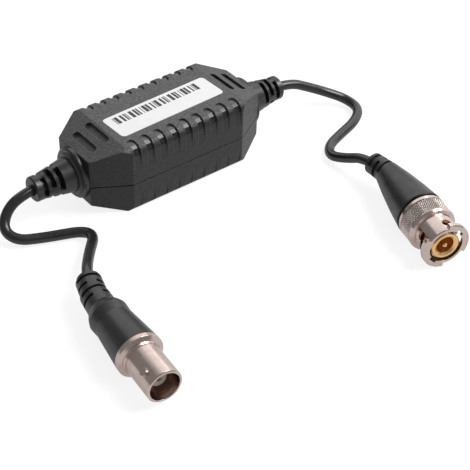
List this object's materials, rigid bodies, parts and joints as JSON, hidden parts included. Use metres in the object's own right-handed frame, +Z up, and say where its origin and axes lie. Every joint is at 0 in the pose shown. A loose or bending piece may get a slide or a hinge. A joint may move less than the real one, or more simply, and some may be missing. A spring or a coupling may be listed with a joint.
{
  "type": "ground loop isolator",
  "caption": "In-line video ground loop isolator: ribbed moulded box with an isolating transformer and two short coaxial leads, one to a bayonet jack, one to a bayonet plug.",
  "frame": {"origin": "middle of the box's underside, on the surface it lies on", "axes": "+Z up; +X along the box towards the lead of the bayonet plug; both leads come round to the -Y side"},
  "size_m": [0.1279, 0.0985, 0.0213],
  "materials": {
    "housing": "black moulded plastic with a fine satin grain",
    "label_film": "plain white adhesive film, unprinted",
    "cable_jacket": "black PVC jacket, satin",
    "boot": "black flexible PVC, smooth satin",
    "nickel": "nickel plate, slightly warm, bright",
    "gilt": "gold-coloured plating",
    "dielectric": "brown insulating plastic",
    "post_plastic": "pale beige insulating plastic of the jack's post",
    "spring_steel": "plain spring steel",
    "gasket": "soft red-brown silicone",
    "ferrule": "crimped nickel-plated sleeve",
    "board": "green lacquered laminate",
    "ferrite": "dark grey sintered ferrite",
    "winding_wire": "enamelled copper wire",
    "solder": "bright solder",
    "core_insulation": "white polyethylene",
    "copper": "bare copper"
  },
  "bodies": {
    "isolator": {"lower_housing": "housing", "upper_housing": "housing", "label": "label_film", "jack_lead": "cable_jacket", "plug_lead": "cable_jacket", "jack_side_relief": "boot", "plug_side_relief": "boot", "jack_shell": "nickel", "jack_insulator": "post_plastic", "jack_contact": "gilt", "jack_ferrule": "ferrule", "jack_boot": "boot", "plug_wave_washer": "spring_steel", "plug_body": "nickel", "plug_retaining_ring": "spring_steel", "plug_contact_sleeve": "gilt", "plug_gasket": "gasket", "plug_insulator": "dielectric", "plug_centre_pin": "gilt", "plug_ferrule": "ferrule", "plug_boot": "boot", "circuit_board": "board", "ferrite_ring": "ferrite", "primary_winding": "winding_wire", "secondary_winding": "winding_wire", "primary_solder_1": "solder", "primary_solder_2": "solder", "secondary_solder_1": "solder", "secondary_solder_2": "solder", "jack_core_insulation": "core_insulation", "jack_core_wire": "copper", "jack_braid_tail": "copper", "jack_core_solder": "solder", "jack_braid_solder": "solder", "plug_core_insulation": "core_insulation", "plug_core_wire": "copper", "plug_braid_tail": "copper", "plug_core_solder": "solder", "plug_braid_solder": "solder"},
    "slip_washer": {"plug_slip_washer": "spring_steel"},
    "coupling_nut": {"plug_coupling_nut": "nickel"}
  },
  "joints": [
    {"name": "nut_travel", "type": "slide", "parent": "isolator", "child": "slip_washer", "axis": [-0.2857, -0.9583, 0], "range_m": [0, 0.0006]},
    {"name": "nut_turn", "type": "hinge", "parent": "slip_washer", "child": "coupling_nut", "pos_m": [0.034, -0.0829, 0.007], "axis": [0.2857, 0.9583, 0], "continuous": true}
  ]
}
